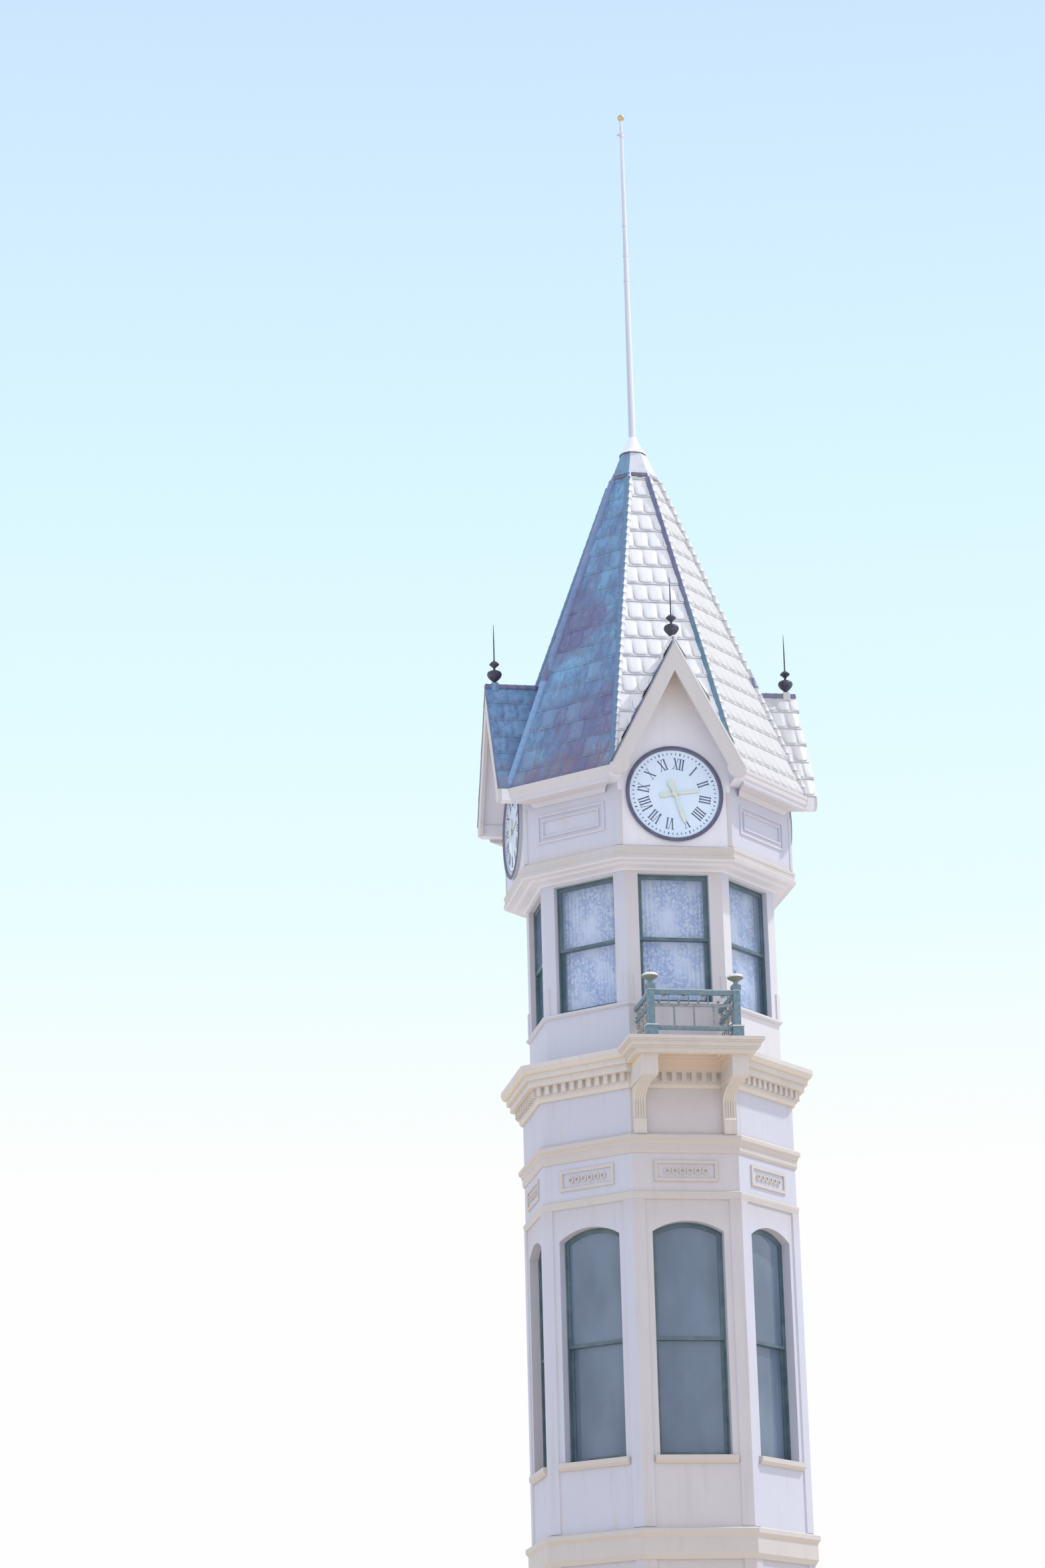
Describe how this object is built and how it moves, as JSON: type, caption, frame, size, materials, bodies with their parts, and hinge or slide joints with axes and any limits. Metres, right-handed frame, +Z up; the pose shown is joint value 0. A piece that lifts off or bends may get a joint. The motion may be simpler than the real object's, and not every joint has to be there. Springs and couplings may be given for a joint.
{
  "type": "clock tower",
  "caption": "Tall octagonal clock tower with gabled dials, windows below them, a small balcony on scrolled brackets, and a shingled spire with a flagpole.",
  "frame": {"origin": "middle of the tower's base, at ground level", "axes": "+Z up; -Y out of the front dial, the one over the balcony; +X to the right of someone facing it"},
  "size_m": [4.064, 4.4901, 24.756],
  "materials": {
    "wall_paint": "painted masonry, dull",
    "board_paint": "painted boards, satin",
    "trim_paint": "painted mouldings, satin",
    "joinery_paint": "slate green paint, satin",
    "window_glass": "clear, reflecting the sky",
    "lace": "white lace",
    "floor_timber": "plain boards",
    "dial_enamel": "white enamel, satin",
    "ring_paint": "dark slate paint",
    "hand_gilt": "pale worn gilding",
    "roof_shingle": "weathered blue-green shingles",
    "finial_iron": "dark, dull",
    "cap_paint": "white paint",
    "pole_paint": "white paint, satin",
    "ball_gilt": "gilt",
    "railing_paint": "grey-green paint, satin"
  },
  "bodies": {
    "tower": {"floors": "floor_timber", "plinth": "wall_paint", "ground_walls_square": "wall_paint", "ground_walls_diagonal": "wall_paint", "entrance_doors": "joinery_paint", "upper_walls_square": "wall_paint", "upper_walls_diagonal": "wall_paint", "lower_windows": "joinery_paint", "lower_glass": "window_glass", "window_sills": "trim_paint", "corner_pilasters": "wall_paint", "string_courses": "trim_paint", "relief_panels": "trim_paint", "dentil_course": "trim_paint", "main_cornice": "trim_paint", "balcony_floor": "trim_paint", "consoles": "trim_paint", "apron": "board_paint", "window_storey_walls": "board_paint", "tower_windows": "joinery_paint", "tower_sashes": "joinery_paint", "tower_glass": "window_glass", "lace_curtains": "lace", "clock_corbel": "board_paint", "clock_walls_square": "board_paint", "clock_walls_diagonal": "board_paint", "wall_trim": "board_paint", "dial_faces": "dial_enamel", "dial_rings": "ring_paint", "eave_cornice": "board_paint", "gable_linings": "board_paint", "gable_boards": "board_paint", "gable_roofs": "roof_shingle", "spire": "roof_shingle", "hip_rolls": "roof_shingle", "gable_finials": "finial_iron", "spire_cap": "cap_paint", "flagpole": "pole_paint", "pole_ball": "ball_gilt", "balcony_posts": "railing_paint", "balcony_railing": "railing_paint"},
    "front_minute": {"front_minute_hand": "hand_gilt"},
    "front_hour": {"front_hour_hand": "hand_gilt"},
    "right_minute": {"right_minute_hand": "hand_gilt"},
    "right_hour": {"right_hour_hand": "hand_gilt"},
    "back_minute": {"back_minute_hand": "hand_gilt"},
    "back_hour": {"back_hour_hand": "hand_gilt"},
    "left_minute": {"left_minute_hand": "hand_gilt"},
    "left_hour": {"left_hour_hand": "hand_gilt"}
  },
  "joints": [
    {"name": "front_minute_turn", "type": "hinge", "parent": "tower", "child": "front_minute", "pos_m": [0, -1.74, 14.6], "axis": [0, 1, 0], "continuous": true},
    {"name": "front_hour_turn", "type": "hinge", "parent": "tower", "child": "front_hour", "pos_m": [0, -1.74, 14.6], "axis": [0, 1, 0], "continuous": true},
    {"name": "right_minute_turn", "type": "hinge", "parent": "tower", "child": "right_minute", "pos_m": [1.74, 0, 14.6], "axis": [-1, 0, 0], "continuous": true},
    {"name": "right_hour_turn", "type": "hinge", "parent": "tower", "child": "right_hour", "pos_m": [1.74, 0, 14.6], "axis": [-1, 0, 0], "continuous": true},
    {"name": "back_minute_turn", "type": "hinge", "parent": "tower", "child": "back_minute", "pos_m": [0, 1.74, 14.6], "axis": [0, -1, 0], "continuous": true},
    {"name": "back_hour_turn", "type": "hinge", "parent": "tower", "child": "back_hour", "pos_m": [0, 1.74, 14.6], "axis": [0, -1, 0], "continuous": true},
    {"name": "left_minute_turn", "type": "hinge", "parent": "tower", "child": "left_minute", "pos_m": [-1.74, 0, 14.6], "axis": [1, 0, 0], "continuous": true},
    {"name": "left_hour_turn", "type": "hinge", "parent": "tower", "child": "left_hour", "pos_m": [-1.74, 0, 14.6], "axis": [1, 0, 0], "continuous": true}
  ],
  "couplings": [
    {"joint": "front_hour_turn", "follows": "front_minute_turn", "ratio": 0.083333},
    {"joint": "right_minute_turn", "follows": "front_minute_turn", "ratio": 1},
    {"joint": "right_hour_turn", "follows": "front_minute_turn", "ratio": 0.083333},
    {"joint": "back_minute_turn", "follows": "front_minute_turn", "ratio": 1},
    {"joint": "back_hour_turn", "follows": "front_minute_turn", "ratio": 0.083333},
    {"joint": "left_minute_turn", "follows": "front_minute_turn", "ratio": 1},
    {"joint": "left_hour_turn", "follows": "front_minute_turn", "ratio": 0.083333}
  ]
}
